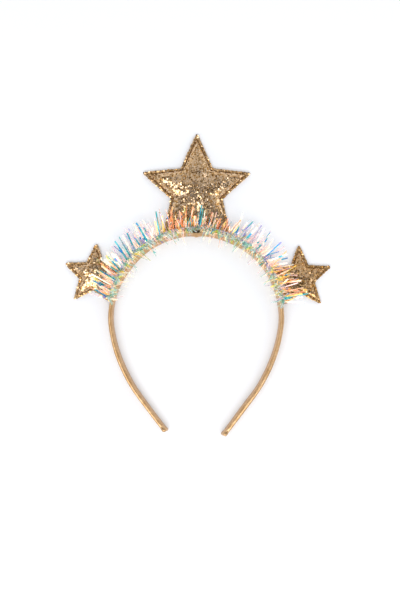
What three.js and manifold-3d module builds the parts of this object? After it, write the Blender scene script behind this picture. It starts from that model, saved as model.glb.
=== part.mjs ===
// Star headband: a cloth-covered alice band, three padded stars sewn to its outside, and a
// tinsel garland along the crown between the two small stars.
// Millimetres, +Z up. The headband lies on its back on a table: the band stands on its rear
// edge, the stars face +Z, and the open ends of the band point along -Y.
import * as THREE from "three";
import Module from "manifold-3d";

const wasm = await Module();
wasm.setup();

// Band: its inner face at the table follows a half-turn crown, a bend on each side and a straight end.
const CROWN_RADIUS = 57.2;
const SIDE_RADIUS = 87.5;
const SIDE_TURN = 37.5; // degrees
const LEFT_END = 31.3;
const RIGHT_END = 35;
const BAND_THICKNESS = 2.6;
const CROWN_WIDTH = 9.5; // across the band, which is its height as it lies
const TIP_WIDTH = 7.8;
const BAND_LEAN = 0.095; // outward lean of the band's walls, for each millimetre of height
const EDGE_ROUND = 0.9;
const CROWN_STEPS = 18; // a side
const SIDE_STEPS = 7;
const END_STEPS = 4;

// Stars: each stands on the band by two points, with the opposite point straight out.
const STARS = [
  { name: "large", bearing: 0.2, outer: 40.1, inner: 18.9, rise: 6.8 },
  { name: "left", bearing: -68.0, outer: 22.6, inner: 10.5, rise: 4.8 },
  { name: "right", bearing: 69.7, outer: 23.4, inner: 10.6, rise: 4.8 },
];
const POINT_ROUND = 0.7; // radius of the sewn points
const NOTCH_ROUND = 0.5;
const BACKING = 1; // thickness of the rear panel
const LAYER_GAP = 0.3; // between the two panels, and round the tinsel
const SEAT_GAP = 0.4; // between a star's points and the band

// The padded front, from its cut edge over the sewn line to the middle.
// inset is a share of the way in from the edge, and rise a share of the star's height.
const PUFF = [
  { inset: 0.0, rise: 0.15 },
  { inset: 0.1, rise: 0.13 },
  { inset: 0.18, rise: 0.45 },
  { inset: 0.34, rise: 0.74 },
  { inset: 0.6, rise: 0.93 },
  { inset: 0.88, rise: 1.0 },
];

// Tinsel: a twisted core along the outside of the band, and the outer form of its cut film.
const TINSEL_FROM = -79; // bearings in degrees, clockwise from the top of the crown
const TINSEL_TO = 81;
const TINSEL_STEPS = 44;
const CORE_RADIUS = 0.8;
const CORE_HEIGHT = 8;
const CORE_SIDES = 8;
const FRINGE_OUT = 13; // reach of the film from the core: outwards, inwards over the band, and up
const FRINGE_IN = 9;
const FRINGE_UP = 7.5;
const FRINGE_FLOOR = 0.4; // clear of the table
const FRINGE_TIP = 1.2; // thickness of the inward film at its ends
const FRINGE_DRAW_IN = 9; // degrees over which the film draws in at each end
const FRINGE_END = 0.5; // share of the film's reach that is left there
const CUT_OVERRUN = 1; // degrees by which the core's channel runs out of the film at each end

const FINISHES = {
  cover: { color: 0xc39a6b, roughness: 0.38, metalness: 0.8 },
  glitter: { color: 0xb08d57, roughness: 0.3, metalness: 0.9 },
  backing: { color: 0xa98458, roughness: 0.6, metalness: 0.4 },
  film: { color: 0xe6e4d8, roughness: 0.15, metalness: 0.1 },
  core: { color: 0xb9b4c4, roughness: 0.4, metalness: 0.2 },
};

const radians = THREE.MathUtils.degToRad;

// A closed body through rings of equal count. capOutline is the rings' order in their own plane.
function loft(rings, capOutline) {
  const count = rings[0].length;
  const last = (rings.length - 1) * count;
  const index = [];
  for (let i = 0; i + 1 < rings.length; i++) {
    for (let j = 0; j < count; j++) {
      const a = i * count + j;
      const b = i * count + ((j + 1) % count);
      index.push(a, b, b + count, a, b + count, a + count);
    }
  }
  for (const [a, b, c] of THREE.ShapeUtils.triangulateShape(capOutline, [])) {
    index.push(a, c, b, last + a, last + b, last + c);
  }
  const geometry = new THREE.BufferGeometry().setFromPoints(rings.flat());
  return geometry.setIndex(index);
}

function solidOf(geometry) {
  return new wasm.Manifold(
    new wasm.Mesh({
      numProp: 3,
      vertProperties: geometry.attributes.position.array,
      triVerts: new Uint32Array(geometry.index.array),
    }),
  );
}

function geometryOf(solid) {
  const { vertProperties, triVerts } = solid.getMesh();
  return new THREE.BufferGeometry()
    .setAttribute("position", new THREE.BufferAttribute(vertProperties, 3))
    .setIndex(new THREE.BufferAttribute(triVerts, 1));
}

function piece(name, geometry, finish) {
  const mesh = new THREE.Mesh(geometry, new THREE.MeshStandardMaterial(FINISHES[finish]));
  mesh.name = name;
  return mesh;
}

// Points of an outline whose corners are rounded, each corner with its own radius and step count.
function roundedOutline(corners) {
  return corners.flatMap(({ at, round, steps }, i) => {
    const before = corners.at(i - 1).at;
    const after = corners[(i + 1) % corners.length].at;
    const toBefore = before.clone().sub(at).normalize();
    const toAfter = after.clone().sub(at).normalize();
    const half = toBefore.angleTo(toAfter) / 2;
    const centre = toBefore.clone().add(toAfter).setLength(round / Math.sin(half)).add(at);
    const start = toBefore.multiplyScalar(round / Math.tan(half)).add(at).sub(centre);
    const end = toAfter.multiplyScalar(round / Math.tan(half)).add(at).sub(centre);
    const turn = Math.atan2(start.cross(end), start.dot(end));
    return Array.from({ length: steps + 1 }, (_, k) =>
      start.clone().rotateAround(new THREE.Vector2(), (turn * k) / steps).add(centre),
    );
  });
}

// Walks one leg from the top of the crown to its tip. side is 1 to the right and -1 to the left.
function legStations(side, endLength) {
  const stretches = [
    { radius: CROWN_RADIUS, turn: radians(90), steps: CROWN_STEPS },
    { radius: SIDE_RADIUS, turn: radians(SIDE_TURN), steps: SIDE_STEPS },
    { length: endLength, turn: 0, steps: END_STEPS },
  ];
  const at = new THREE.Vector2(0, CROWN_RADIUS);
  let heading = 0;
  let walked = 0;
  const outward = () => new THREE.Vector2(Math.sin(heading), Math.cos(heading));
  const stations = [{ at: at.clone(), outward: outward(), walked }];
  for (const { radius, length, turn, steps } of stretches) {
    for (let k = 0; k < steps; k++) {
      if (turn) {
        at.addScaledVector(outward(), -radius);
        heading += turn / steps;
        at.addScaledVector(outward(), radius);
      } else {
        at.add(new THREE.Vector2(Math.cos(heading), -Math.sin(heading)).setLength(length / steps));
      }
      walked += (length ?? radius * turn) / steps;
      stations.push({ at: at.clone(), outward: outward(), walked });
    }
  }
  return stations.map((station) => ({
    at: new THREE.Vector2(side * station.at.x, station.at.y),
    outward: new THREE.Vector2(side * station.outward.x, station.outward.y),
    width: THREE.MathUtils.lerp(CROWN_WIDTH, TIP_WIDTH, station.walked / walked),
  }));
}

// The band's section: x is outwards from the inner face at the table, and y is up.
function bandSection(width) {
  const lean = BAND_LEAN * width;
  const corner = (x, y) => ({ at: new THREE.Vector2(x, y), round: EDGE_ROUND, steps: 2 });
  return roundedOutline([
    corner(0, 0),
    corner(BAND_THICKNESS, 0),
    corner(BAND_THICKNESS + lean, width),
    corner(lean, width),
  ]);
}

function bandGeometry() {
  const left = legStations(-1, LEFT_END).slice(1).reverse();
  const stations = [...left, ...legStations(1, RIGHT_END)];
  const rings = stations.map(({ at, outward, width }) =>
    bandSection(width).map(
      ({ x, y }) => new THREE.Vector3(at.x + outward.x * x, at.y + outward.y * x, y),
    ),
  );
  return loft(rings, bandSection(TIP_WIDTH));
}

// Outline of a star with its seat towards -Y, grown evenly by clearance.
function starOutline({ outer, inner }, clearance = 0) {
  const grow = 1 + clearance / starApothem({ outer, inner });
  const corners = Array.from({ length: 10 }, (_, i) => {
    const point = i % 2 === 0;
    const reach = (point ? outer : inner) * grow;
    const angle = radians(90 + 36 * i);
    return {
      at: new THREE.Vector2(Math.cos(angle), Math.sin(angle)).setLength(reach),
      round: point ? POINT_ROUND : NOTCH_ROUND,
      steps: point ? 3 : 1,
    };
  });
  return roundedOutline(corners);
}

// Distance from a star's middle to the line of any of its edges.
function starApothem({ outer, inner }) {
  const point = new THREE.Vector2(outer, 0);
  const notch = new THREE.Vector2(inner, 0).rotateAround(new THREE.Vector2(), radians(36));
  return point.cross(notch) / point.distanceTo(notch);
}

function starFrontGeometry(star, clearance = 0) {
  const outline = starOutline(star, clearance);
  const base = clearance ? -clearance : BACKING + LAYER_GAP;
  const ring = (scale, height) => outline.map(({ x, y }) => new THREE.Vector3(x * scale, y * scale, height));
  const top = ({ rise }) => BACKING + LAYER_GAP + rise * star.rise + clearance;
  const rings = [ring(1, base), ...PUFF.map((row) => ring(1 - row.inset, top(row)))];
  return loft(rings, outline);
}

function starBackGeometry(star) {
  return new THREE.ExtrudeGeometry(new THREE.Shape(starOutline(star)), {
    depth: BACKING,
    bevelEnabled: false,
  });
}

// How far a star's middle stands from the crown's centre, with the round ends of its two seat points
// a small gap off the band's outer wall at the height of the star's rim.
function starDistance({ outer, inner, rise }) {
  const halfPoint = Math.atan2(
    inner * Math.sin(radians(36)),
    outer - inner * Math.cos(radians(36)),
  );
  const roundCentre = outer - POINT_ROUND / Math.sin(halfPoint);
  const rimTop = BACKING + LAYER_GAP + PUFF[0].rise * rise;
  const seatRadius = CROWN_RADIUS + BAND_THICKNESS + BAND_LEAN * rimTop + SEAT_GAP + POINT_ROUND;
  const across = roundCentre * Math.sin(radians(36));
  return roundCentre * Math.cos(radians(36)) + Math.sqrt(seatRadius ** 2 - across ** 2);
}

function placedStar(star) {
  const placed = new THREE.Group();
  placed.add(
    piece(`${star.name}_star_front`, starFrontGeometry(star), "glitter"),
    piece(`${star.name}_star_back`, starBackGeometry(star), "backing"),
  );
  const bearing = radians(star.bearing);
  const distance = starDistance(star);
  placed.position.set(distance * Math.sin(bearing), distance * Math.cos(bearing), 0);
  placed.rotation.z = -bearing;
  placed.updateMatrix();
  return placed;
}

// A body along the tinsel's stretch of the crown, run past each end by overrun degrees.
// outlineAt gives the outline for the degrees to the nearer end, with x a radius from the crown's centre.
function crownSweep(outlineAt, overrun = 0) {
  const from = TINSEL_FROM - overrun;
  const to = TINSEL_TO + overrun;
  const rings = Array.from({ length: TINSEL_STEPS + 1 }, (_, k) => {
    const bearing = THREE.MathUtils.lerp(from, to, k / TINSEL_STEPS);
    const sine = Math.sin(radians(bearing));
    const cosine = Math.cos(radians(bearing));
    return outlineAt(Math.min(bearing - from, to - bearing)).map(
      ({ x, y }) => new THREE.Vector3(x * sine, x * cosine, y),
    );
  });
  return loft(rings, outlineAt(0));
}

const CORE_REACH =
  CROWN_RADIUS + BAND_THICKNESS + BAND_LEAN * CORE_HEIGHT + LAYER_GAP + CORE_RADIUS;

function coreOutline(clearance = 0) {
  return Array.from({ length: CORE_SIDES }, (_, k) => {
    const angle = (2 * Math.PI * k) / CORE_SIDES;
    return new THREE.Vector2(CORE_RADIUS + clearance, 0)
      .rotateAround(new THREE.Vector2(), angle)
      .add(new THREE.Vector2(CORE_REACH, CORE_HEIGHT));
  });
}

// The film's outer form: from the foot of the band's outer wall, up it and over its front edge to the
// inward tips, then round by a quarter ellipse inwards and a half ellipse outwards. It draws in
// towards the core at both ends of the tinsel.
function fringeOutline(toEnd) {
  const full = Math.sqrt(Math.min(1, toEnd / FRINGE_DRAW_IN));
  const reach = THREE.MathUtils.lerp(FRINGE_END, 1, full);
  const foot = CORE_HEIGHT - (CORE_HEIGHT - FRINGE_FLOOR) * reach;
  const wall = CROWN_RADIUS + BAND_THICKNESS + LAYER_GAP;
  const over = CROWN_WIDTH + LAYER_GAP;
  const edge = over + FRINGE_TIP;
  const top = Math.max(CORE_HEIGHT + FRINGE_UP * reach, edge);
  const inside = [
    new THREE.Vector2(wall + BAND_LEAN * foot, foot),
    new THREE.Vector2(wall + BAND_LEAN * over, over),
    new THREE.Vector2(CORE_REACH - FRINGE_IN * reach, over),
  ];
  const inward = [0, 25, 55].map(
    (angle) =>
      new THREE.Vector2(
        CORE_REACH - FRINGE_IN * reach * Math.cos(radians(angle)),
        edge + (top - edge) * Math.sin(radians(angle)),
      ),
  );
  const outward = [90, 55, 25, 0, -30, -60, -82].map(
    (angle) =>
      new THREE.Vector2(
        CORE_REACH + FRINGE_OUT * reach * Math.cos(radians(angle)),
        CORE_HEIGHT + (angle > 0 ? top - CORE_HEIGHT : CORE_HEIGHT - foot) * Math.sin(radians(angle)),
      ),
  );
  return [...inside, ...inward, ...outward].reverse();
}

function fringeGeometry(stars) {
  const grownStars = STARS.map((star, i) =>
    starFrontGeometry(star, LAYER_GAP + SEAT_GAP).applyMatrix4(stars[i].matrix),
  );
  const grownCore = crownSweep(() => coreOutline(LAYER_GAP), CUT_OVERRUN);
  const cut = [...grownStars, grownCore].reduce(
    (solid, geometry) => solid.subtract(solidOf(geometry)),
    solidOf(crownSweep(fringeOutline)),
  );
  return geometryOf(cut);
}

const headband = new THREE.Group();
const stars = STARS.map(placedStar);
headband.add(
  piece("band", bandGeometry(), "cover"),
  piece("tinsel_core", crownSweep(() => coreOutline()), "core"),
  piece("tinsel_fringe", fringeGeometry(stars), "film"),
  ...stars,
);

// The origin is under the middle of the whole headband, on the table.
const middle = new THREE.Box3().setFromObject(headband, true).getCenter(new THREE.Vector3());
headband.position.set(-middle.x, -middle.y, 0);

export default headband;
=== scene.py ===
import math

import bpy
import numpy as np
from mathutils import Matrix, Vector, noise


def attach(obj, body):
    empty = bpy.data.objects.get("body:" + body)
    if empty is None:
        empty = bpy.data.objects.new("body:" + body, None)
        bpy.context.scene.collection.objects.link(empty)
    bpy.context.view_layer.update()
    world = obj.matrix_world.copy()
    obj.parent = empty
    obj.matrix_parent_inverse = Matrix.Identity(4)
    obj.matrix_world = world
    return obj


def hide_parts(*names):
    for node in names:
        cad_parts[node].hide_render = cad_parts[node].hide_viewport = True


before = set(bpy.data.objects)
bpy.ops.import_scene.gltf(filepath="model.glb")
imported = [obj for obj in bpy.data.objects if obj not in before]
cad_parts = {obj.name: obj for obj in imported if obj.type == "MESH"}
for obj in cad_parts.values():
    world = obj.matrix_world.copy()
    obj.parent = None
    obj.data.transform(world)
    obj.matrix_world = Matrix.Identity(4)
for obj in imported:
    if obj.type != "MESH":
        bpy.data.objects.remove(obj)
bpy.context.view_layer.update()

CROWN = Vector((-0.001107, -0.021942, 0))
CROWN_RADIUS = 0.0572
SIDE_RADIUS = 0.0875
SIDE_TURN = math.radians(37.5)
LEFT_END = 0.0313
RIGHT_END = 0.035
BAND_THICKNESS = 0.0026
CROWN_WIDTH = 0.0095
TIP_WIDTH = 0.0078
BAND_LEAN = 0.095
BAND_ROUND = 0.00115

CROWN_HALF = CROWN_RADIUS * math.pi / 2
SIDE_LENGTH = SIDE_RADIUS * SIDE_TURN
LEFT_LENGTH = CROWN_HALF + SIDE_LENGTH + LEFT_END
RIGHT_LENGTH = CROWN_HALF + SIDE_LENGTH + RIGHT_END

COVER_TAN = (0.5, 0.3, 0.135, 1)
COVER_CREAM = (0.67, 0.44, 0.24, 1)
# A near black, painted as shade into the crown's slit and into the dimples by the tips.
COVER_PAINTED_SHADE = (0.015, 0.008, 0.004, 1)


def band_point(along, out, up):
    """The place of a point along the band from the crown, out from its inner face, and up its width."""
    side = math.copysign(1, along)
    way = abs(along)
    out = out + BAND_LEAN * up
    if way < CROWN_HALF:
        heading = way / CROWN_RADIUS
        x = (CROWN_RADIUS + out) * math.sin(heading)
        y = (CROWN_RADIUS + out) * math.cos(heading)
    else:
        heading = math.pi / 2 + min(way - CROWN_HALF, SIDE_LENGTH) / SIDE_RADIUS
        straight = max(way - CROWN_HALF - SIDE_LENGTH, 0)
        x = CROWN_RADIUS - SIDE_RADIUS + (SIDE_RADIUS + out) * math.sin(heading)
        y = (SIDE_RADIUS + out) * math.cos(heading)
        x += straight * math.cos(heading)
        y -= straight * math.sin(heading)
    return CROWN + Vector((side * x, y, up))


def bump(distance, reach):
    """A smooth hump: 1 in the middle, fading out over reach."""
    return math.exp(-((distance / reach) ** 2))


def ease(value):
    """A smooth step from 0 to 1."""
    value = min(max(value, 0), 1)
    return value * value * (3 - 2 * value)


def start_mesh(add, name, **settings):
    """Adds a primitive with nothing else selected, and names it."""
    if bpy.context.object and bpy.context.object.mode != "OBJECT":
        bpy.ops.object.mode_set(mode="OBJECT")
    bpy.ops.object.select_all(action="DESELECT")
    add(**settings)
    piece = bpy.context.object
    piece.name = name
    piece.data.name = name
    return piece


def select_edges(piece, wanted):
    """Selects the edges whose two ends wanted accepts, in edit mode."""
    bpy.ops.object.mode_set(mode="EDIT")
    bpy.context.tool_settings.mesh_select_mode = (False, True, False)
    bpy.ops.mesh.select_all(action="DESELECT")
    bpy.ops.object.mode_set(mode="OBJECT")
    verts = piece.data.vertices
    for edge in piece.data.edges:
        edge.select = wanted(verts[edge.vertices[0]].co, verts[edge.vertices[1]].co)
    bpy.ops.object.mode_set(mode="EDIT")


def apply_modifier(piece, kind, **settings):
    """Adds a modifier with its settings, and applies it."""
    bpy.context.view_layer.objects.active = piece
    modifier = piece.modifiers.new(kind.lower(), kind)
    for key, value in settings.items():
        setattr(modifier, key, value)
    bpy.ops.object.modifier_apply(modifier=modifier.name)


def new_material(name):
    """A node material with one Principled shader. Gives the material, its tree and that shader."""
    material = bpy.data.materials.new(name)
    material.use_nodes = True
    tree = material.node_tree
    return material, tree, tree.nodes["Principled BSDF"]


def add_node(tree, kind, settings, sockets):
    """A node with its settings, and with each named socket set to a value or linked to an output."""
    made = tree.nodes.new(kind)
    for key, value in settings.items():
        setattr(made, key, value)
    for key, value in sockets.items():
        if isinstance(value, bpy.types.NodeSocket):
            tree.links.new(value, made.inputs[key])
        else:
            made.inputs[key].default_value = value
    return made


def add_ramp(tree, factor, stops):
    """A colour ramp over factor, with stops of place and colour."""
    ramp = add_node(tree, "ShaderNodeValToRGB", {}, {"Fac": factor})
    elements = ramp.color_ramp.elements
    while len(elements) < len(stops):
        elements.new(0.5)
    for element, (place, colour) in zip(elements, stops):
        element.position = place
        element.color = colour
    return ramp.outputs["Color"]


def vertex_fact(piece, name, kind, values):
    """Stores one value for each vertex, for the material to read."""
    fact = piece.data.attributes.new(name, kind, "POINT")
    key = "vector" if kind == "FLOAT_VECTOR" else "value"
    fact.data.foreach_set(key, np.asarray(values, dtype=np.float32).ravel())


def finish_piece(piece, material, slot, *nodes):
    """Gives a finished piece its material, its body and the nodes it stands for."""
    piece.data.materials.clear()
    piece.data.materials.append(material)
    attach(piece, "root")
    if nodes:
        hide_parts(*nodes)


# The strip is modelled straight, with its long edges rounded, then sculpted and laid along its bend.
ROUND_STEPS = 4
LENGTH_CUTS = 300
WIDTH_CUTS = 9
FOLD_CUTS = 3
FOLD_REACH = 0.007
SAME_PLACE = 0.0001

band = start_mesh(bpy.ops.mesh.primitive_cube_add, "band_cover", size=1)
bpy.ops.transform.resize(value=(LEFT_LENGTH + RIGHT_LENGTH, BAND_THICKNESS, CROWN_WIDTH))
bpy.ops.object.transform_apply(location=True, rotation=True, scale=True)
band.data.transform(
    Matrix.Translation(((RIGHT_LENGTH - LEFT_LENGTH) / 2, BAND_THICKNESS / 2, CROWN_WIDTH / 2))
)
select_edges(band, lambda a, b: abs(a.x - b.x) > LEFT_LENGTH)
bpy.ops.mesh.bevel(offset=BAND_ROUND, segments=ROUND_STEPS)
select_edges(band, lambda a, b: abs(a.x - b.x) > LEFT_LENGTH)
bpy.ops.mesh.subdivide(number_cuts=LENGTH_CUTS)
select_edges(band, lambda a, b: abs(a.z - b.z) > CROWN_WIDTH / 2)
bpy.ops.mesh.subdivide(number_cuts=WIDTH_CUTS)


def has_folds(along):
    """Whether a place is by the crown's lip or by a tip, where the cloth has small folds."""
    by_tip = along < FOLD_REACH - LEFT_LENGTH or along > RIGHT_LENGTH - FOLD_REACH
    return by_tip or abs(along) < FOLD_REACH


select_edges(band, lambda a, b: abs(a.x - b.x) > SAME_PLACE and has_folds((a.x + b.x) / 2))
bpy.ops.mesh.subdivide(number_cuts=FOLD_CUTS)
bpy.ops.object.mode_set(mode="OBJECT")

# The shape of the cover, a row for each fold: its place along the strip, its depth and how far it reaches.
# The crown's fullness lies between two bearings. Low, high and fade are shares of the strip's width.
FULLNESS = {"depth": 0.0013, "from": -1.35, "rise": 0.4, "to": 0.9, "fall": 0.5}
LIP = {"at": 0.0002, "depth": 0.0013, "reach": 0.002, "high": 0.35, "fade": 0.3}
SLIT = {"at": 0.0003, "depth": 0.0009, "reach": 0.0033, "low": 0.6, "fade": 0.2, "steep": 2.2}
SHOULDER = {"at": 0.092, "depth": 0.0004, "reach": 0.008}
KNEE = {"at": 0.128, "depth": 0.0006, "reach": 0.021, "squeeze": 0.6}
LAP = {"at": RIGHT_LENGTH - 0.035, "depth": 0.0004, "step": 0.005, "reach": 0.022}
CAP = {"length": 0.0024, "edge": 0.0009, "swell": 0.2}
CREASE = {"past_cap": 0.0008, "reach": 0.0005, "pinch": 0.12}
# The dimple's shade is the share of painted shade that darkens it.
DIMPLE = {"past_cap": 0.0006, "depth": 0.0011, "reach": 0.0008, "low": 0.8, "fade": 0.2, "shade": 0.8}
TIP = {"round": 0.0006, "pinch": 0.3, "slant": 0.0016, "slant_reach": 0.012}

# The cloth's fine ripples: the share of each in the whole, and its waves along and up the strip.
RIPPLE_DEPTH = 0.00007
RIPPLES = [
    {"share": 1, "along": 260, "up": 90, "shift": 0},
    {"share": 0.5, "along": 700, "up": 150, "shift": 7},
]

flat_places = []
painted_fold_shades = []
for vert in band.data.vertices:
    along, out, up = vert.co
    height = up / CROWN_WIDTH
    inner = 1 - out / BAND_THICKNESS
    middle = 1 - abs(2 * inner - 1)
    share = abs(along) / RIGHT_LENGTH
    bearing = along / CROWN_RADIUS
    to_tip = LEFT_LENGTH + along if along < 0 else RIGHT_LENGTH - along
    flat_places.append((along * 1000, out * 1000, up * 1000))
    ripple = 0
    for row in RIPPLES:
        wave = Vector((along * row["along"], up * row["up"], row["shift"] + inner * 2))
        ripple += row["share"] * noise.noise(wave)
    place = vert.co + vert.normal * (RIPPLE_DEPTH * ripple)
    # The cloth sits full on the crown's inner face, with a pointed lip, and a slit at the front edge whose
    # hollow is painted near black as shade.
    full = ease((bearing - FULLNESS["from"]) / FULLNESS["rise"])
    full *= ease((FULLNESS["to"] - bearing) / FULLNESS["fall"])
    place.y -= FULLNESS["depth"] * full * (1 - height) * inner
    lip = math.exp(-abs(along - LIP["at"]) / LIP["reach"]) * inner
    place.y -= LIP["depth"] * lip * (1 - ease((height - LIP["high"]) / LIP["fade"]))
    hollow = bump(along - SLIT["at"], SLIT["reach"]) * ease((height - SLIT["low"]) / SLIT["fade"])
    slit = ease(SLIT["steep"] * hollow - 0.5) * inner
    place.y += SLIT["depth"] * slit
    # Each leg swells a little where it leaves the crown, and closes in more sharply below that.
    place.y += SHOULDER["depth"] * bump(abs(along) - SHOULDER["at"], SHOULDER["reach"])
    knee = bump(abs(along) - KNEE["at"], KNEE["reach"])
    place.y -= KNEE["depth"] * (1 + KNEE["squeeze"] * inner) * knee
    # The cover laps over itself on the right leg's inner face and thins out towards the tip.
    lap = ease((along - LAP["at"]) / LAP["step"]) * ease((RIGHT_LENGTH - along) / LAP["reach"])
    place.y -= LAP["depth"] * lap * inner
    # At each tip the cloth is folded in under a short cap, creased where it starts and pinched in front.
    past_cap = to_tip - CAP["length"]
    cap = 1 - ease(past_cap / CAP["edge"])
    crease = bump(past_cap - CREASE["past_cap"], CREASE["reach"])
    thick = 1 + CAP["swell"] * cap - CREASE["pinch"] * crease
    thick -= TIP["pinch"] * (1 - ease(to_tip / TIP["round"]))
    place.y = BAND_THICKNESS / 2 + (place.y - BAND_THICKNESS / 2) * thick
    dimple = bump(past_cap - DIMPLE["past_cap"], DIMPLE["reach"]) * middle
    dimple *= ease((height - DIMPLE["low"]) / DIMPLE["fade"])
    place.z -= DIMPLE["depth"] * dimple
    place.z *= 1 - (1 - TIP_WIDTH / CROWN_WIDTH) * share
    slant = math.copysign(TIP["slant"], along) * (1 - height)
    place.x += slant * (1 - ease(to_tip / TIP["slant_reach"]))
    # Painted shade: the slit's hollow in full and the dimples at a share are kept per vertex, so the cover
    # is painted dark there.
    painted_fold_shades.append(min(slit + DIMPLE["shade"] * dimple, 1))
    vert.co = band_point(*place)

vertex_fact(band, "flat_mm", "FLOAT_VECTOR", flat_places)
vertex_fact(band, "painted_fold_shade", "FLOAT", painted_fold_shades)
apply_modifier(band, "SUBSURF", levels=1, render_levels=1)
bpy.ops.object.shade_smooth()

cover_gold, tree, shader = new_material("cover_gold")
flat_mm = add_node(tree, "ShaderNodeAttribute", {"attribute_name": "flat_mm"}, {}).outputs["Vector"]
painted_fold_shade = add_node(tree, "ShaderNodeAttribute", {"attribute_name": "painted_fold_shade"}, {}).outputs["Fac"]
patches = add_node(tree, "ShaderNodeTexNoise", {}, {"Vector": flat_mm, "Scale": 0.3, "Detail": 4.0})
cloth_colour = add_ramp(tree, patches.outputs["Fac"], [(0.35, COVER_TAN), (0.7, COVER_CREAM)])
# Painted shade: where the fold mask is full, the cover's colour is painted near black.
painted_shade_in_folds = add_node(
    tree, "ShaderNodeMix", {"data_type": "RGBA"}, {0: painted_fold_shade, 6: cloth_colour, 7: COVER_PAINTED_SHADE}
)
tree.links.new(painted_shade_in_folds.outputs[2], shader.inputs["Base Color"])
threads = add_node(
    tree,
    "ShaderNodeTexWave",
    {"bands_direction": "DIAGONAL"},
    {"Vector": flat_mm, "Scale": 0.55, "Distortion": 1.5, "Detail": 2.0, "Detail Scale": 3.0},
)
grain = add_node(tree, "ShaderNodeTexNoise", {}, {"Vector": flat_mm, "Scale": 3.2, "Detail": 4.0})
relief = add_node(
    tree,
    "ShaderNodeMath",
    {"operation": "MULTIPLY_ADD"},
    {0: threads.outputs["Fac"], 1: 0.35, 2: grain.outputs["Fac"]},
)
cloth_bump = add_node(
    tree,
    "ShaderNodeBump",
    {},
    {"Height": relief.outputs["Value"], "Strength": 0.45, "Distance": 0.0001},
)
tree.links.new(cloth_bump.outputs["Normal"], shader.inputs["Normal"])
shine = add_node(
    tree,
    "ShaderNodeMapRange",
    {},
    {"Value": grain.outputs["Fac"], "From Min": 0.3, "From Max": 0.7, "To Min": 0.11, "To Max": 0.22},
)
dull_folds = add_node(
    tree, "ShaderNodeMath", {"operation": "ADD", "use_clamp": True}, {0: shine.outputs["Result"], 1: painted_fold_shade}
)
tree.links.new(dull_folds.outputs["Value"], shader.inputs["Roughness"])
shader.inputs["Metallic"].default_value = 0.68
shader.inputs["Specular Tint"].default_value = (0.94, 0.78, 0.62, 1)
finish_piece(band, cover_gold, "gold_cover", "band")


# The stars: glitter cloth over wadding, sewn to a flat rear panel along a line inside the cut edge.
# Each stands on the band by two points. The rear panel shows a little beyond the front's edge.

# A row gives a star's middle and bearing, the reach of its points and notches, the heights of its padded
# wall and dome and the dome's slope, how far the wadding blows it up, and its glitter: the lean of its
# nap, its tints on the middle and on the rim, the number of flakes and the seed that strews them.
STARS = [
    {
        "name": "large", "x": -0.0008, "y": 0.06592, "bearing": 0.2, "outer": 0.0401, "inner": 0.0189,
        "wall": 0.003, "dome": 0.0022, "slope": 0.0055, "puff": 0.0005,
        "nap": (-0.05, -0.005), "tints": (0.4, 1), "rim_tints": (0.3, 0.7), "flakes": 5600, "seed": 3,
    },
    {
        "name": "left", "x": -0.07224, "y": 0.0068, "bearing": -68.0, "outer": 0.0226, "inner": 0.0105,
        "wall": 0.002, "dome": 0.0013, "slope": 0.0035, "puff": 0.0005,
        "nap": (-0.03, -0.06), "tints": (0.4, 1), "rim_tints": (0.3, 0.7), "flakes": 1900, "seed": 11,
    },
    # The right star's middle and rim flakes are tinted darker than the other stars' on the same glitter
    # cloth: painted shade.
    {
        "name": "right", "x": 0.07132, "y": 0.00485, "bearing": 69.7, "outer": 0.0234, "inner": 0.0106,
        "wall": 0.0024, "dome": 0.0002, "slope": 0.0035, "puff": 0.0002,
        "nap": (0.04, 0.13), "tints": (0.2, 0.75), "rim_tints": (0.12, 0.5), "flakes": 2000, "seed": 23,
    },
]
HALF_POINT = math.radians(36)
POINT_BEVEL = 0.0021
POINT_STEPS = 4
NOTCH_BEVEL = 0.0004
NOTCH_STEPS = 1
EDGE_CUTS = 17
BACKING = 0.001
BACKING_SPARE = 0.0002
BACKING_ROUND = 0.0002
BACKING_SHIFT = 0.0002
SMOOTH_ANGLE = math.radians(40)
FRONT_BASE = 0.0013
RIM_THICKNESS = 0.0009
RIM_WIDTH = 0.0013
EDGE_DROP = 0.0001
EDGE_RUN = 0.0002
GROOVE_HALF = 0.0003
GROOVE_DEPTH = 0.0003
WALL_RUN = 0.0004
TAPER = 0.3

# The wadding fills each star by cloth pressure, at a size that the cloth solver handles well. It is lumpy.
SIM_SCALE = 20
PUFF_PRESSURE = 6
PUFF_QUALITY = 6
PUFF_FRAMES = 20
LUMPS = [{"height": 0.0003, "waves": 110}, {"height": 0.00018, "waves": 330}]

# Most flakes lie nearly flat on the cloth, leaning with its nap, and a share stands at a stray angle.
# Near the band the tinsel presses them level. None lies on a steep face or in the sewn groove.
FLAKE_TILT = 0.03
STRAY_TILT = 0.26
STRAY_SHARE = 0.08
RIM_TILT = 0.2
PRESSED_TO = 0.021
PRESSED_FADE = 0.007
FLAKE_SIZES = (0.00045, 0.0007)
FLAKE_DEPTH = 0.3
FLAKE_RISE = (0.00004, 0.00014)
GROOVE_CLEAR = 0.0002
FACING_UP = 0.1

# On the large star the nap is brushed towards the seat low on the left, and away from it on the right.
BRUSHED = {
    "large": [
        {"at": (-0.0095, -0.0065), "reach": 0.0075, "lean": (-0.01, -0.06)},
        {"at": (0.0095, -0.005), "reach": 0.0085, "lean": (0.02, 0.06)},
    ]
}

# The rings of the padded middle, from the sewn groove inwards, as shares of the way to the middle.
PUFF_RINGS = (
    0.012, 0.025, 0.04, 0.06, 0.085, 0.12, 0.16, 0.21, 0.27, 0.34, 0.42, 0.51, 0.6, 0.7, 0.8, 0.9
)

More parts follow.
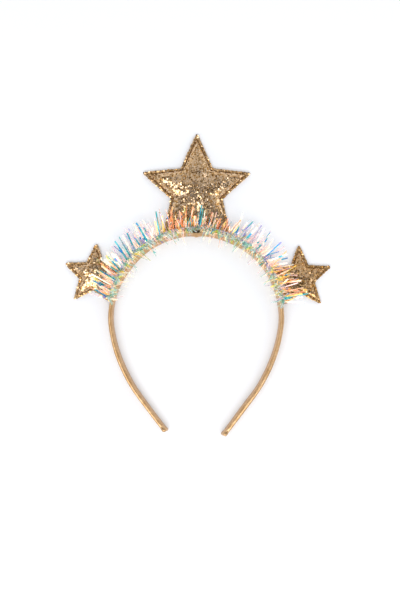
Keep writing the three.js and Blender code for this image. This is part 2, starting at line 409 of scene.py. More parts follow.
# A flake's tint runs from dark to pale. Dark ones lie in small clusters.
GLITTER_BASE = (0.2, 0.12, 0.05, 1)
GLITTER_GOLD = (0.68, 0.43, 0.2, 1)
FLAKE_COLOURS = [
    (0.0, (0.12, 0.06, 0.02, 1)),
    (0.2, (0.5, 0.25, 0.06, 1)),
    (0.4, GLITTER_GOLD),
    (0.7, (0.76, 0.53, 0.32, 1)),
    (1.0, (0.86, 0.66, 0.46, 1)),
]
DARK_TINTS = (0, 0.25)
DARK_SHARE = 0.2
CLUSTER_SHARE = 0.7
CLUSTER_WAVES = 600
THREAD_DARK = (0.16, 0.07, 0.015, 1)
THREAD_GOLD = (0.4, 0.2, 0.05, 1)
BACKING_GOLD = (0.4, 0.25, 0.12, 1)
BACKING_PALE = (0.52, 0.34, 0.17, 1)


def star_outline(name, outer, inner):
    """A flat star with its seat towards -Y, its points and notches rounded and its edges divided."""
    piece = start_mesh(
        bpy.ops.mesh.primitive_circle_add, name, vertices=10, radius=outer, fill_type="NGON"
    )
    for index, vert in enumerate(piece.data.vertices):
        if index % 2:
            vert.co *= inner / outer
    bpy.ops.object.mode_set(mode="EDIT")
    bpy.context.tool_settings.mesh_select_mode = (True, False, False)
    for reach, offset, steps in ((outer, POINT_BEVEL, POINT_STEPS), (inner, NOTCH_BEVEL, NOTCH_STEPS)):
        bpy.ops.mesh.select_all(action="DESELECT")
        bpy.ops.object.mode_set(mode="OBJECT")
        for vert in piece.data.vertices:
            vert.select = abs(vert.co.length - reach) < SAME_PLACE
        bpy.ops.object.mode_set(mode="EDIT")
        bpy.ops.mesh.bevel(offset=offset, segments=steps, affect="VERTICES")
    select_edges(piece, lambda a, b: (a - b).length > inner / 2)
    bpy.ops.mesh.subdivide(number_cuts=EDGE_CUTS)
    bpy.context.tool_settings.mesh_select_mode = (False, False, True)
    bpy.ops.mesh.select_all(action="SELECT")
    return piece


def raise_ring(scale, rise):
    """Extrudes the selected star, shrinks it about its middle and lifts it."""
    bpy.ops.mesh.extrude_region_move(TRANSFORM_OT_translate={"value": (0, 0, rise)})
    if scale != 1:
        bpy.ops.transform.resize(value=(scale, scale, 1), center_override=(0, 0, 0))


def star_apothem(outer, inner):
    """The distance from a star's middle to the line of an edge."""
    across = inner * math.sin(HALF_POINT)
    down = outer - inner * math.cos(HALF_POINT)
    return outer * across / math.hypot(across, down)


def edge_inset(places, outer, inner):
    """How far in from the edge line of a star each place is."""
    fifth = 2 * math.pi / 5
    angles = np.arctan2(places[:, 0], places[:, 1])
    from_point = np.abs((angles + fifth / 2) % fifth - fifth / 2)
    facing = math.atan2(outer - inner * math.cos(fifth / 2), inner * math.sin(fifth / 2))
    reach = np.hypot(places[:, 0], places[:, 1])
    return star_apothem(outer, inner) - reach * np.cos(from_point - facing)


def mesh_places(mesh):
    """The places of a mesh's vertices, as an array."""
    places = np.empty(len(mesh.vertices) * 3)
    mesh.vertices.foreach_get("co", places)
    return places.reshape(-1, 3)


def ordered_triangles(mesh, places):
    """The small faces as triangles, in an order that hangs only on where their corners are."""
    rank = np.empty(len(places), dtype=int)
    rank[np.lexsort(places.T)] = np.arange(len(places))
    triangles = []
    for face in mesh.polygons:
        ring = list(face.vertices)
        if len(ring) > 4:
            continue
        first = int(np.argmin(rank[ring]))
        ring = ring[first:] + ring[:first]
        triangles += [(ring[0], *pair) for pair in zip(ring[1:], ring[2:])]
    triangles.sort(key=lambda corners: tuple(rank[list(corners)]))
    return np.array(triangles)


def face_normals(corners):
    """The unit normal of each triangle, and twice its area."""
    normals = np.cross(corners[:, 1] - corners[:, 0], corners[:, 2] - corners[:, 0])
    areas = np.linalg.norm(normals, axis=1) + 1e-15
    return normals / areas[:, None], areas


def puff_up(piece, free, cap):
    """Blows up the free vertices by cloth pressure, holds them under a soft cap, and keeps the result."""
    flat = mesh_places(piece.data)
    piece.data.transform(Matrix.Scale(SIM_SCALE, 4))
    held = piece.vertex_groups.new(name="held")
    held.add([int(index) for index in np.flatnonzero(~free)], 1, "REPLACE")
    cloth = piece.modifiers.new("wadding", "CLOTH")
    cloth.settings.vertex_group_mass = "held"
    cloth.settings.use_pressure = True
    cloth.settings.uniform_pressure_force = PUFF_PRESSURE
    cloth.settings.effector_weights.gravity = 0
    cloth.settings.quality = PUFF_QUALITY
    for step in range(1, PUFF_FRAMES + 1):
        bpy.context.scene.frame_set(step)
    bpy.context.view_layer.objects.active = piece
    bpy.ops.object.modifier_apply(modifier=cloth.name)
    bpy.context.scene.frame_set(1)
    piece.data.transform(Matrix.Scale(1 / SIM_SCALE, 4))
    puffed = mesh_places(piece.data)
    gain = puffed - flat
    reach = np.linalg.norm(gain, axis=1, keepdims=True) + 1e-9
    puffed = flat + gain / reach * cap * np.tanh(reach / cap)
    puffed[~free] = flat[~free]
    piece.data.vertices.foreach_set("co", puffed.ravel())


def joined_copies(name, template, places, facts):
    """One mesh of many copies of a small mesh. places holds each copy's vertices."""
    copies, count, _ = places.shape
    rings = [np.array(face.vertices) for face in template.polygons]
    faces = [(ring + copy * count).tolist() for copy in range(copies) for ring in rings]
    mesh = bpy.data.meshes.new(name)
    mesh.from_pydata(places.reshape(-1, 3).tolist(), [], faces)
    piece = bpy.data.objects.new(name, mesh)
    bpy.context.scene.collection.objects.link(piece)
    for key, values in facts.items():
        vertex_fact(piece, key, "FLOAT", values)
    return piece


def turned_frames(normals, spins):
    """A right-handed set of three axes for each normal, turned about it."""
    helper = np.tile((1.0, 0.0, 0.0), (len(normals), 1))
    first = np.cross(normals, helper)
    first /= np.linalg.norm(first, axis=1, keepdims=True)
    second = np.cross(normals, first)
    turned = first * np.cos(spins)[:, None] + second * np.sin(spins)[:, None]
    return np.stack((turned, np.cross(normals, turned), normals), axis=1)


glitter_cloth, tree, shader = new_material("glitter_cloth")
spot = add_node(tree, "ShaderNodeTexCoord", {}, {}).outputs["Object"]
cells = add_node(tree, "ShaderNodeTexVoronoi", {}, {"Vector": spot, "Scale": 1500.0})
shade = add_ramp(tree, cells.outputs["Color"], [(0.1, GLITTER_BASE), (0.9, GLITTER_GOLD)])
tree.links.new(shade, shader.inputs["Base Color"])
cell_bump = add_node(
    tree, "ShaderNodeBump", {}, {"Height": cells.outputs["Distance"], "Strength": 0.6, "Distance": 0.0002}
)
tree.links.new(cell_bump.outputs["Normal"], shader.inputs["Normal"])
shader.inputs["Metallic"].default_value = 0.9
shader.inputs["Roughness"].default_value = 0.36

glitter_flakes, tree, shader = new_material("glitter_flakes")
tint = add_node(tree, "ShaderNodeAttribute", {"attribute_name": "tint"}, {}).outputs["Fac"]
tree.links.new(add_ramp(tree, tint, FLAKE_COLOURS), shader.inputs["Base Color"])
shader.inputs["Metallic"].default_value = 1
shader.inputs["Roughness"].default_value = 0.13

sewing_thread, tree, shader = new_material("sewing_thread")
spot = add_node(tree, "ShaderNodeTexCoord", {}, {}).outputs["Object"]
strands = add_node(tree, "ShaderNodeTexNoise", {}, {"Vector": spot, "Scale": 2600.0, "Detail": 2.0})
thread_colour = add_ramp(tree, strands.outputs["Fac"], [(0.3, THREAD_DARK), (0.75, THREAD_GOLD)])
tree.links.new(thread_colour, shader.inputs["Base Color"])
shader.inputs["Roughness"].default_value = 0.4
shader.inputs["Metallic"].default_value = 0.3

star_backing, tree, shader = new_material("star_backing")
spot = add_node(tree, "ShaderNodeTexCoord", {}, {}).outputs["Object"]
weave = add_node(tree, "ShaderNodeTexVoronoi", {}, {"Vector": spot, "Scale": 1800.0})
backing_colour = add_ramp(tree, weave.outputs["Distance"], [(0.0, BACKING_PALE), (0.8, BACKING_GOLD)])
tree.links.new(backing_colour, shader.inputs["Base Color"])
weave_bump = add_node(
    tree, "ShaderNodeBump", {}, {"Height": weave.outputs["Distance"], "Strength": 0.4, "Distance": 0.0001}
)
tree.links.new(weave_bump.outputs["Normal"], shader.inputs["Normal"])
shader.inputs["Metallic"].default_value = 0.5
shader.inputs["Roughness"].default_value = 0.5

# One flake, of size 1: a six-sided sequin that tapers to a point underneath.
flake = start_mesh(bpy.ops.mesh.primitive_circle_add, "flake", vertices=6, radius=1, fill_type="NGON")
bpy.ops.object.mode_set(mode="EDIT")
bpy.ops.mesh.select_all(action="SELECT")
bpy.ops.mesh.extrude_region_move(TRANSFORM_OT_translate={"value": (0, 0, -FLAKE_DEPTH)})
bpy.ops.mesh.merge(type="CENTER")
bpy.ops.mesh.select_all(action="SELECT")
bpy.ops.mesh.normals_make_consistent(inside=False)
bpy.ops.object.mode_set(mode="OBJECT")
flake_mesh = flake.data
bpy.data.objects.remove(flake)

# One stitch: a short thread, thickest and highest in its middle, whose ends dip into the cloth.
STITCH_LENGTH = 0.00185
STITCH_STEP = 0.0025
STITCH_RADIUS = 0.00022
STITCH_LIFT = 0.00018
stitch = start_mesh(bpy.ops.mesh.primitive_cylinder_add, "stitch", vertices=6, radius=1, depth=2)
bpy.ops.transform.rotate(value=math.pi / 2, orient_axis="Y", center_override=(0, 0, 0))
bpy.ops.object.transform_apply(location=True, rotation=True, scale=True)
select_edges(stitch, lambda a, b: abs(a.x - b.x) > 1)
bpy.ops.mesh.subdivide(number_cuts=5)
bpy.ops.object.mode_set(mode="OBJECT")
stitch_mesh = stitch.data
bpy.data.objects.remove(stitch)

for star in STARS:
    outer = star["outer"]
    inner = star["inner"]
    seeded = np.random.default_rng(star["seed"])
    apothem = star_apothem(outer, inner)
    place = Matrix.Translation((star["x"], star["y"], 0)) @ Matrix.Rotation(
        -math.radians(star["bearing"]), 4, "Z"
    )

    # The front panel: base, cut edge, rim, sewn groove, then rings to the middle.
    front = star_outline(f"{star['name']}_star_glitter", outer, inner)
    bpy.ops.object.mode_set(mode="OBJECT")
    ring_size = len(front.data.vertices)
    bpy.ops.object.mode_set(mode="EDIT")
    bpy.ops.transform.translate(value=(0, 0, FRONT_BASE))
    groove = 1 - RIM_WIDTH / apothem
    groove_half = GROOVE_HALF / apothem
    top = groove - groove_half
    rings = [(1, 0), (1, RIM_THICKNESS - EDGE_DROP), (1 - EDGE_RUN / apothem, RIM_THICKNESS)]
    rings += [((1 + groove) / 2, RIM_THICKNESS), (groove + groove_half, RIM_THICKNESS)]
    groove_ring = len(rings)
    rings += [(groove, RIM_THICKNESS - GROOVE_DEPTH), (top, RIM_THICKNESS)]
    rings += [(top * (1 - way), RIM_THICKNESS) for way in PUFF_RINGS]
    for last, ring in zip(rings, rings[1:]):
        raise_ring(ring[0] / last[0], ring[1] - last[1])
    bpy.ops.mesh.extrude_region_move(TRANSFORM_OT_translate={"value": (0, 0, 0)})
    bpy.ops.mesh.merge(type="CENTER")
    bpy.ops.mesh.select_all(action="SELECT")
    bpy.ops.mesh.normals_make_consistent(inside=False)
    bpy.ops.object.mode_set(mode="OBJECT")

    # The wadding lifts the middle: a steep wall by the seam, then a low dome.
    places = mesh_places(front.data)
    ring_of = np.minimum(np.arange(len(places)) // ring_size, len(rings))
    scales = np.array([scale for scale, _ in rings] + [0])[ring_of]
    past_seam = np.maximum(top - scales, 0) * apothem
    free = past_seam > 0
    across = np.hypot(places[:, 0], places[:, 1]) / outer
    lift = star["wall"] * (1 - np.exp(-past_seam / WALL_RUN))
    lift += star["dome"] * (1 - np.exp(-past_seam / star["slope"]))
    places[:, 2] += lift * (1 - TAPER * across**2)
    seam_line = places[ring_of == groove_ring]
    front.data.vertices.foreach_set("co", places.ravel())
    triangles = ordered_triangles(front.data, places)
    puff_up(front, free, star["puff"])
    for index in np.flatnonzero(free):
        vert = front.data.vertices[index]
        for lump in LUMPS:
            wave = Vector((vert.co.x * lump["waves"], vert.co.y * lump["waves"], star["seed"]))
            vert.co.z += lump["height"] * noise.noise(wave)
    bpy.ops.object.shade_smooth()
    finish_piece(front, glitter_cloth, "glitter_cloth", f"{star['name']}_star_front")

    # The rear panel, set a touch up and to the right of the front.
    back = star_outline(
        f"{star['name']}_star_backing", outer + BACKING_SPARE, inner + BACKING_SPARE / 2
    )
    raise_ring(1, BACKING)
    bpy.ops.mesh.select_all(action="SELECT")
    bpy.ops.mesh.normals_make_consistent(inside=False)
    bpy.ops.object.mode_set(mode="OBJECT")
    apply_modifier(back, "BEVEL", width=BACKING_ROUND, segments=2, limit_method="ANGLE")
    cut = np.ptp(mesh_places(back.data), axis=0)
    back.data.transform(Matrix.Translation((BACKING_SHIFT, BACKING_SHIFT, 0)) @ place)
    bpy.ops.object.shade_smooth_by_angle(angle=SMOOTH_ANGLE)
    finish_piece(back, star_backing, "star_backing", f"{star['name']}_star_back")

    # The glitter: flakes strewn over the front except in the groove, each tilted a little its own way.
    # They are strewn over the shape before the wadding fills it, and ride up with it.
    unfilled = places[triangles]
    corners = mesh_places(front.data)[triangles]
    normals, areas = face_normals(unfilled)
    chance = np.where(normals[:, 2] > FACING_UP, areas, 0)
    picked = seeded.choice(len(chance), size=star["flakes"], p=chance / chance.sum())
    mix = seeded.random((len(picked), 2))
    mix = np.where(mix.sum(axis=1, keepdims=True) > 1, 1 - mix, mix)
    weights = np.column_stack((1 - mix.sum(axis=1), mix))
    spots = np.einsum("fc,fcx->fx", weights, unfilled[picked])
    inset = edge_inset(spots, outer, inner)
    kept = np.abs(inset - RIM_WIDTH) > GROOVE_HALF + GROOVE_CLEAR
    spots = np.einsum("fc,fcx->fx", weights, corners[picked])[kept]
    normals = face_normals(corners)[0][picked][kept]
    on_rim = inset[kept] < RIM_WIDTH
    count = len(spots)
    tilt = np.where(on_rim, RIM_TILT, FLAKE_TILT)
    tilt = np.where(seeded.random(count) < STRAY_SHARE, STRAY_TILT, tilt)[:, None]
    nap = Matrix.Rotation(math.radians(star["bearing"]), 3, "Z") @ Vector((*star["nap"], 0))
    crown = np.array(place.inverted() @ CROWN)
    from_band = np.linalg.norm(spots[:, :2] - crown[:2], axis=1) - CROWN_RADIUS
    pressed = np.clip((PRESSED_TO - from_band) / PRESSED_FADE, 0, 1)[:, None]
    nap = np.tile(nap, (count, 1))
    for patch in BRUSHED.get(star["name"], []):
        away = np.linalg.norm(spots[:, :2] - patch["at"], axis=1) / patch["reach"]
        nap[:, :2] += np.exp(-(away**2))[:, None] * patch["lean"]
    leaning = (normals + nap) * (1 - pressed) + np.array((0, 0, 1)) * pressed
    leaning += tilt * seeded.normal(0, 1, (count, 3))
    leaning /= np.linalg.norm(leaning, axis=1, keepdims=True)
    spots += normals * seeded.uniform(*FLAKE_RISE, (count, 1))
    frames = turned_frames(leaning, seeded.uniform(0, math.pi, count))
    sizes = seeded.uniform(*FLAKE_SIZES, count)
    shape = mesh_places(flake_mesh)
    flakes = spots[:, None] + sizes[:, None, None] * np.einsum("vk,fkx->fvx", shape, frames)
    rim_tints = seeded.uniform(*star["rim_tints"], count)
    tints = np.where(on_rim, rim_tints, seeded.uniform(*star["tints"], count))
    clusters = np.array([noise.noise(Vector(spot) * CLUSTER_WAVES) for spot in spots])
    is_dark = seeded.random(count) < DARK_SHARE + CLUSTER_SHARE * clusters
    tints = np.where(is_dark, seeded.uniform(*DARK_TINTS, count), tints)
    tints = np.repeat(tints, len(shape))
    glitter = joined_copies(f"{star['name']}_star_flakes", flake_mesh, flakes, {"tint": tints})
    glitter.data.transform(place)
    front.data.transform(place)
    finish_piece(glitter, glitter_flakes, "glitter_cloth")

    # The sewing: stitches end to end along the groove, arched where they leave and enter the cloth.
    seam_line = seam_line[np.argsort(np.arctan2(seam_line[:, 0], seam_line[:, 1]))]
    seam_line = np.vstack((seam_line, seam_line[:1]))
    run = np.concatenate(([0], np.cumsum(np.linalg.norm(np.diff(seam_line, axis=0), axis=1))))
    shape = mesh_places(stitch_mesh)
    arch = 1 - shape[:, 0] ** 2
    slim = STITCH_RADIUS * (0.6 + 0.4 * arch)
    rise = STITCH_RADIUS * (1.1 * arch - 0.4) + STITCH_LIFT
    stitches = []
    for middle in np.arange(0, run[-1] - STITCH_STEP / 2, STITCH_STEP):
        reach = (middle + shape[:, 0] * STITCH_LENGTH / 2) % run[-1]
        line = np.column_stack([np.interp(reach, run, seam_line[:, axis]) for axis in range(3)])
        heading = line[np.argmax(shape[:, 0])] - line[np.argmin(shape[:, 0])]
        heading /= np.linalg.norm(heading)
        side = np.array((-heading[1], heading[0], 0))
        stitches.append(
            line + np.outer(shape[:, 1] * slim, side) + np.outer(shape[:, 2] * slim + rise, (0, 0, 1))
        )
    sewing = joined_copies(f"{star['name']}_star_stitches", stitch_mesh, np.array(stitches), {})
    sewing.data.transform(place)
    bpy.ops.object.select_all(action="DESELECT")
    sewing.select_set(True)
    bpy.context.view_layer.objects.active = sewing
    bpy.ops.object.shade_smooth()
    finish_piece(sewing, sewing_thread, "glitter_cloth")


# The tinsel's core: two fine threads twisted together along the outside of the band, near its front edge,
# from one small star to the other. They grip the cut film.
TINSEL_FROM = math.radians(-79)
TINSEL_TO = math.radians(81)
CORE_REACH = 0.06166
CORE_HEIGHT = 0.008
PLY_RADIUS = 0.00038
PLY_OFFSET = 0.00036
PLY_PITCH = 0.0032
PLY_STEPS = 420
CORD_GREY = (0.42, 0.4, 0.5, 1)
CORD_PALE = (0.78, 0.76, 0.84, 1)

plies = []
for ply in range(2):
    curve = bpy.data.curves.new("ply", "CURVE")
    curve.dimensions = "3D"
    curve.bevel_depth = PLY_RADIUS
    curve.bevel_resolution = 1
    curve.use_fill_caps = True
    spline = curve.splines.new("POLY")
    spline.points.add(PLY_STEPS)
    for step in range(PLY_STEPS + 1):
        bearing = TINSEL_FROM + (TINSEL_TO - TINSEL_FROM) * step / PLY_STEPS
        turn = 2 * math.pi * CORE_REACH * bearing / PLY_PITCH + math.pi * ply
        reach = CORE_REACH + PLY_OFFSET * math.cos(turn)
        up = CORE_HEIGHT + PLY_OFFSET * math.sin(turn)
        point = CROWN + Vector((reach * math.sin(bearing), reach * math.cos(bearing), up))
        spline.points[step].co = (*point, 1)
    strand = bpy.data.objects.new("ply", curve)
    bpy.context.scene.collection.objects.link(strand)
    plies.append(strand)
bpy.ops.object.select_all(action="DESELECT")
for strand in plies:
    strand.select_set(True)
bpy.context.view_layer.objects.active = plies[0]
bpy.ops.object.convert(target="MESH")
bpy.ops.object.join()
core = bpy.context.object
core.name = "tinsel_cord"
bpy.ops.object.shade_smooth()

cord_thread, tree, shader = new_material("cord_thread")
spot = add_node(tree, "ShaderNodeTexCoord", {}, {}).outputs["Object"]
fibres = add_node(tree, "ShaderNodeTexNoise", {}, {"Vector": spot, "Scale": 1800.0, "Detail": 3.0})
cord_colour = add_ramp(tree, fibres.outputs["Fac"], [(0.3, CORD_GREY), (0.7, CORD_PALE)])
tree.links.new(cord_colour, shader.inputs["Base Color"])
shader.inputs["Roughness"].default_value = 0.35
finish_piece(core, cord_thread, "tinsel_cord", "tinsel_core")


# The tinsel's film: narrow strips of clear iridescent film, cut across and held in the twist of the core,
# so that they stand out all round it: long ones outwards, others up, and some in over the band.
FILM_THICKNESS = 0.00003
FILM_STEPS = 8
FILM_LEAN = 0.14
FILM_CURL = 0.0004
FILM_ROLL = 1
FILM_TWIST = 0.4
FILM_WIDTHS = (0.8, 1.15)
FILM_SHINE = 0.86
FILM_SEED = 41
ROOT_LIFT = 0.0003

# A strip that reaches in over the band first arches over its edge. By the slit such strips are cut short.
ARCH_HEIGHT = 0.0022
ARCH_RUN = 0.0035
SLIT_BEARING = 0.005
SLIT_CLEAR = 0.07
SLIT_FILM_LENGTH = 0.0026

# Some strips turn teal, blue or violet along a part of their length.
ACCENTS = ("teal", "teal", "teal", "blue", "violet")
ACCENT_SHARE = 0.22
ACCENT_PLACES = (0.2, 0.95)
ACCENT_REACH = (0.08, 0.2)
HUE_SPREAD = 0.03

# The film's run of colours: what a whole strip mirrors, and what it lets through.
FILM_COLOURS = {
    "bronze": {"place": 0.0, "mirrors": (0.4, 0.24, 0.1), "passes": (0.34, 0.28, 0.22)},
    "lime": {"place": 0.08, "mirrors": (0.5, 0.58, 0.14), "passes": (0.44, 0.52, 0.28)},
    "gold": {"place": 0.15, "mirrors": (0.9, 0.62, 0.14), "passes": (0.5, 0.48, 0.28)},
    "coral": {"place": 0.23, "mirrors": (0.95, 0.36, 0.24), "passes": (0.48, 0.52, 0.52)},
    "peach": {"place": 0.3, "mirrors": (0.94, 0.64, 0.5), "passes": (0.5, 0.56, 0.56)},
    "cream": {"place": 0.37, "mirrors": (0.86, 0.74, 0.54), "passes": (0.54, 0.58, 0.56)},
    "pearl": {"place": 0.45, "mirrors": (0.42, 0.52, 0.58), "passes": (0.42, 0.46, 0.46)},
    "mint": {"place": 0.51, "mirrors": (0.4, 0.54, 0.46), "passes": (0.38, 0.46, 0.4)},
    "teal": {"place": 0.65, "mirrors": (0.03, 0.34, 0.38), "passes": (0.03, 0.28, 0.32)},
    "blue": {"place": 0.72, "mirrors": (0.06, 0.22, 0.5), "passes": (0.06, 0.2, 0.38)},
    "violet": {"place": 0.8, "mirrors": (0.24, 0.18, 0.5), "passes": (0.22, 0.18, 0.42)},
    # Lilac is partly the film's own tint and partly painted shade: its grey strips stand for the soft grey
    # shade among the strips.
    "lilac": {"place": 0.9, "mirrors": (0.36, 0.36, 0.43), "passes": (0.48, 0.48, 0.53)},
    "pink": {"place": 1.0, "mirrors": (0.84, 0.56, 0.52), "passes": (0.56, 0.56, 0.58)},
}

# Each kind of strip: how many, slant from straight out, length, width, spread of its lean along the band,
# the span of bearings it fills, and the odds of each colour. A kind with slants under OUTWARD stands out.
OUTWARD = 1
WHOLE_SPAN = (TINSEL_FROM, TINSEL_TO)
NOTCH_SPAN = (-0.2, 0.2)
STRIPS = [
    {"count": 150, "slant": (-0.2, 0.6), "length": (0.0105, 0.0172), "width": 0.0012, "spread": 0.2,
     "span": WHOLE_SPAN,
     "odds": {"coral": 1, "peach": 6, "cream": 5, "pink": 5, "teal": 2, "blue": 0.8, "lilac": 3}},
    {"count": 120, "slant": (-0.1, 0.9), "length": (0.005, 0.0105), "width": 0.0011, "spread": 0.3,
     "span": WHOLE_SPAN,
     "odds": {"coral": 1.5, "peach": 4, "cream": 4, "pink": 3, "teal": 2, "blue": 1, "lilac": 4}},
    # These strips fill the large star's lower notch. Their mostly dark bronze colour is painted shade.
    {"count": 60, "slant": (0, 0.5), "length": (0.005, 0.01), "width": 0.0011, "spread": 0.3,
     "span": NOTCH_SPAN,
     "odds": {"bronze": 6, "coral": 2, "peach": 2, "teal": 1, "violet": 0.5, "lilac": 1}},
    {"count": 100, "slant": (0.9, 2.2), "length": (0.003, 0.007), "width": 0.0009, "spread": 0.4,
     "span": WHOLE_SPAN,
     "odds": {"coral": 1, "peach": 1, "cream": 2, "lime": 0.6, "mint": 3, "pearl": 6, "lilac": 3}},
    {"count": 120, "slant": (2.3, 2.95), "length": (0.007, 0.0135), "width": 0.0007, "spread": 0.25,
     "span": WHOLE_SPAN,
     "odds": {"lime": 1, "peach": 2, "cream": 6, "mint": 3, "pearl": 3, "lilac": 1.5, "pink": 3}},
    {"count": 290, "slant": (2.2, 3.0), "length": (0.003, 0.0078), "width": 0.0012, "spread": 0.6,
     "span": WHOLE_SPAN,
     "odds": {"lime": 1.4, "gold": 0.7, "cream": 2, "mint": 5, "pearl": 10, "teal": 0.3, "lilac": 2}},
]

# Over the stars the outward strips are raised to clear the padding, and their colours are painted warmer:
# a painted reflection of the gold below. A span gives the bearings, the share of the strips' width and
# length that is left, and the odds.
STAR_SLANT = (0.14, 0.4)
LARGE_STAR_ODDS = {
    "bronze": 6, "gold": 1.5, "coral": 6, "peach": 4, "cream": 1, "teal": 1.2, "blue": 0.4,
    "lilac": 0.4, "pink": 0.6,
}
LEFT_STAR_ODDS = {
    "gold": 2.5, "coral": 4, "peach": 7, "cream": 5, "teal": 1.8, "blue": 0.6, "lilac": 1, "pink": 2,
}
RIGHT_STAR_ODDS = {
    "bronze": 2, "gold": 4, "coral": 3, "peach": 5, "cream": 4, "teal": 2.4, "blue": 1,
    "lilac": 1, "pink": 1.5,
}
STAR_SPANS = [
    {"from": -0.43, "to": 0.07, "slim": 0.7, "reach": 1, "odds": LARGE_STAR_ODDS},
    {"from": 0.07, "to": 0.44, "slim": 0.6, "reach": 0.75, "odds": LARGE_STAR_ODDS},
    {"from": -1.43, "to": -0.93, "slim": 1, "reach": 1, "odds": LEFT_STAR_ODDS},
    {"from": 0.96, "to": 1.46, "slim": 0.8, "reach": 1, "odds": RIGHT_STAR_ODDS},
]

# One strip, along X, which each copy stretches, bends and turns.
strip = start_mesh(bpy.ops.mesh.primitive_cube_add, "strip", size=1)
select_edges(strip, lambda a, b: abs(a.x - b.x) > 0.5)
bpy.ops.mesh.subdivide(number_cuts=FILM_STEPS - 1)
bpy.ops.object.mode_set(mode="OBJECT")
strip_mesh = strip.data
bpy.data.objects.remove(strip)
strip_shape = mesh_places(strip_mesh)
strip_way = strip_shape[:, 0] + 0.5


def star_at(bearing):
    """The span of the star that a bearing crosses, if any."""
    return next((span for span in STAR_SPANS if span["from"] < bearing < span["to"]), None)


def by_slit(bearing):
    """Whether a bearing is by the crown's slit, where the film over the band is cut short."""
    return abs(bearing - SLIT_BEARING) < SLIT_CLEAR


seeded = np.random.default_rng(FILM_SEED)
strips = []
hues = []
for row in STRIPS:
    outward = row["slant"][1] < OUTWARD
    for number in range(row["count"]):
        share = (number + seeded.uniform(0, 1)) / row["count"]
        bearing = row["span"][0] + (row["span"][1] - row["span"][0]) * share
        slant = seeded.uniform(*row["slant"])
        length = seeded.uniform(*row["length"])
        odds = row["odds"]
        star_span = star_at(bearing)
        if star_span:
            slant = max(slant, seeded.uniform(*STAR_SLANT))
        if star_span and outward:
            length *= star_span["reach"]
            odds = star_span["odds"]
        if by_slit(bearing) and not outward:
            length = min(length, SLIT_FILM_LENGTH)
        chances = np.array(list(odds.values()))
        colour = seeded.choice(list(odds), p=chances / chances.sum())
        radial = np.array((math.sin(bearing), math.cos(bearing), 0))
        tangent = np.array((math.cos(bearing), -math.sin(bearing), 0))
        lift = np.array((0, 0, 1.0))
        lean = seeded.normal(FILM_LEAN, row["spread"])
        heading = radial * math.cos(slant) + lift * math.sin(slant) + tangent * lean
        heading /= np.linalg.norm(heading)
        root = np.array(CROWN) + radial * CORE_REACH + lift * (CORE_HEIGHT + ROOT_LIFT)
        way = strip_way[:, None]
        line = root + heading * length * way
        if slant > math.pi / 2:
            arched = np.clip(way * length / ARCH_RUN, 0, 1)
            line = line + lift * ARCH_HEIGHT * np.sin(arched * math.pi / 2)
        flank = np.cross(heading, lift if abs(heading[2]) < 0.9 else radial)
        flank /= np.linalg.norm(flank)
        face = np.cross(flank, heading)
        line = line + face * seeded.normal(0, FILM_CURL) * np.sin(way * math.pi)
        roll = seeded.uniform(-FILM_ROLL, FILM_ROLL) + seeded.normal(0, FILM_TWIST) * way
        across = flank * np.cos(roll) + face * np.sin(roll)
        through = face * np.cos(roll) - flank * np.sin(roll)
        width = row["width"] * seeded.uniform(*FILM_WIDTHS)
        if star_span and outward:
            width *= star_span["slim"]
        strips.append(
            line + across * width * strip_shape[:, 1:2] + through * FILM_THICKNESS * strip_shape[:, 2:3]
        )
        hue = np.full(len(strip_shape), FILM_COLOURS[colour]["place"])
        if outward and seeded.random() < ACCENT_SHARE:
            from_accent = np.abs(strip_way - seeded.uniform(*ACCENT_PLACES))
            near = from_accent < seeded.uniform(*ACCENT_REACH)
            hue[near] = FILM_COLOURS[seeded.choice(ACCENTS)]["place"]
        hues.append(hue + seeded.uniform(-HUE_SPREAD, HUE_SPREAD))

film = joined_copies("tinsel_film", strip_mesh, np.array(strips), {"hue": np.concatenate(hues)})

iridescent_film, tree, shader = new_material("iridescent_film")
hue = add_node(tree, "ShaderNodeAttribute", {"attribute_name": "hue"}, {}).outputs["Fac"]
spot = add_node(tree, "ShaderNodeTexCoord", {}, {}).outputs["Object"]
drift = add_node(tree, "ShaderNodeTexNoise", {}, {"Vector": spot, "Scale": 260.0, "Detail": 1.0})
shift = add_node(
    tree,
    "ShaderNodeMapRange",
    {},
    {"Value": drift.outputs["Fac"], "From Min": 0.3, "From Max": 0.7, "To Min": -0.06, "To Max": 0.06},
)
place = add_node(tree, "ShaderNodeMath", {"operation": "ADD"}, {0: hue, 1: shift.outputs["Result"]})
# A strip has two faces, one behind the other, and each takes its share.
mirror_stops = []
pass_stops = []
for colour in FILM_COLOURS.values():
    pairs = zip(colour["mirrors"], colour["passes"])
    mirrors = [FILM_SHINE * mirror / (1 + passes) for mirror, passes in pairs]
    mirror_stops.append((colour["place"], (*mirrors, 1)))
    pass_stops.append((colour["place"], (*[math.sqrt(passes) for passes in colour["passes"]], 1)))
mirrored = add_ramp(tree, place.outputs["Value"], mirror_stops)
passed = add_ramp(tree, place.outputs["Value"], pass_stops)
tree.links.new(mirrored, shader.inputs["Base Color"])
shader.inputs["Metallic"].default_value = 1
shader.inputs["Roughness"].default_value = 0.38
see_through = add_node(tree, "ShaderNodeBsdfTransparent", {}, {"Color": passed})
both = add_node(
    tree, "ShaderNodeAddShader", {}, {0: see_through.outputs["BSDF"], 1: shader.outputs["BSDF"]}
)
tree.links.new(both.outputs["Shader"], tree.nodes["Material Output"].inputs["Surface"])
finish_piece(film, iridescent_film, "tinsel_film", "tinsel_fringe")


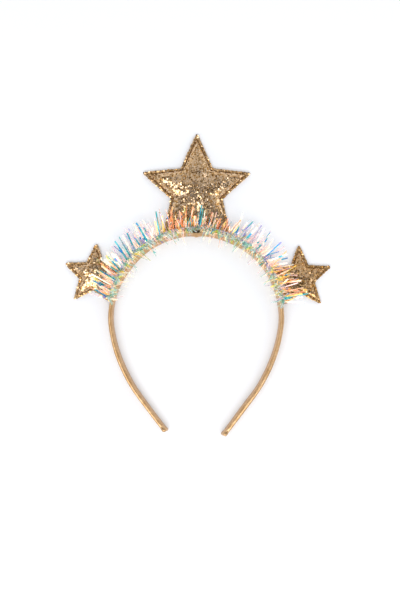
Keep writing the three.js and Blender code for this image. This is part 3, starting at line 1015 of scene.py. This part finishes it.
# The studio: a white table, a large soft light on the side of the open ends, weaker ones past the large
# star and on the right, and the camera straight above.
TABLE_WHITE = (0.93, 0.945, 0.97, 1)
TABLE_GLOW = (0.8, 0.9, 1, 1)
floor = start_mesh(bpy.ops.mesh.primitive_plane_add, "table", size=3, location=(0, 0, -0.0002))
table_white, tree, shader = new_material("table_white")
shader.inputs["Base Color"].default_value = TABLE_WHITE
shader.inputs["Roughness"].default_value = 0.9
shader.inputs["Specular IOR Level"].default_value = 0.1
shader.inputs["Emission Color"].default_value = TABLE_GLOW
shader.inputs["Emission Strength"].default_value = 0.04
floor.data.materials.append(table_white)

# The soft boxes hang flat above the table: where, their sides, their turn, and how bright each face is.
LIGHTS = [
    {"name": "key", "at": (-0.143, -0.629, 1.15), "sides": (1.5, 1.0), "turn": -16.6, "bright": 2.8},
    {"name": "north", "at": (-0.25, 0.78, 1.15), "sides": (2.4, 0.95), "turn": 0, "bright": 0.46},
    {"name": "east", "at": (1.05, 0.15, 0.75), "sides": (0.7, 1.0), "turn": 0, "bright": 1.2},
]
for light in LIGHTS:
    lamp = bpy.data.lights.new(light["name"], "AREA")
    lamp.shape = "RECTANGLE"
    lamp.size, lamp.size_y = light["sides"]
    lamp.energy = light["bright"] * math.pi * lamp.size * lamp.size_y
    lamp_object = bpy.data.objects.new(light["name"], lamp)
    bpy.context.scene.collection.objects.link(lamp_object)
    lamp_object.location = light["at"]
    lamp_object.rotation_euler = (0, 0, math.radians(light["turn"]))

# All round there is a low glow, as in a tent of white cloth, which is dimmer overhead.
LOW_GLOW = (0.97, 0.96, 0.93, 1)
HIGH_GLOW = (0.24, 0.25, 0.285, 1)
world = bpy.data.worlds.new("studio")
world.use_nodes = True
toward = add_node(world.node_tree, "ShaderNodeTexCoord", {}, {}).outputs["Generated"]
height = add_node(world.node_tree, "ShaderNodeSeparateXYZ", {}, {"Vector": toward}).outputs["Z"]
glow = add_ramp(world.node_tree, height, [(0.45, LOW_GLOW), (0.7, HIGH_GLOW)])
world.node_tree.links.new(glow, world.node_tree.nodes["Background"].inputs["Color"])
bpy.context.scene.world = world
bpy.context.scene.cycles.use_denoising = True
bpy.context.scene.cycles.transparent_max_bounces = 24
bpy.context.scene.view_settings.view_transform = "Standard"

# The camera frames the headband as the photo does, by where the crown's middle is in its picture.
PIXEL = 0.0007
PHOTO_CROWN = (196.2, 316.4)
PHOTO_SIZE = (400, 600)
camera_data = bpy.data.cameras.new("camera")
camera_data.lens = 50
camera_data.sensor_width = 36
camera = bpy.data.objects.new("camera", camera_data)
bpy.context.scene.collection.objects.link(camera)
camera.location = (
    CROWN.x + (PHOTO_SIZE[0] / 2 - PHOTO_CROWN[0]) * PIXEL,
    CROWN.y + (PHOTO_CROWN[1] - PHOTO_SIZE[1] / 2) * PIXEL,
    PHOTO_SIZE[1] * PIXEL * camera_data.lens / camera_data.sensor_width,
)
bpy.context.scene.camera = camera
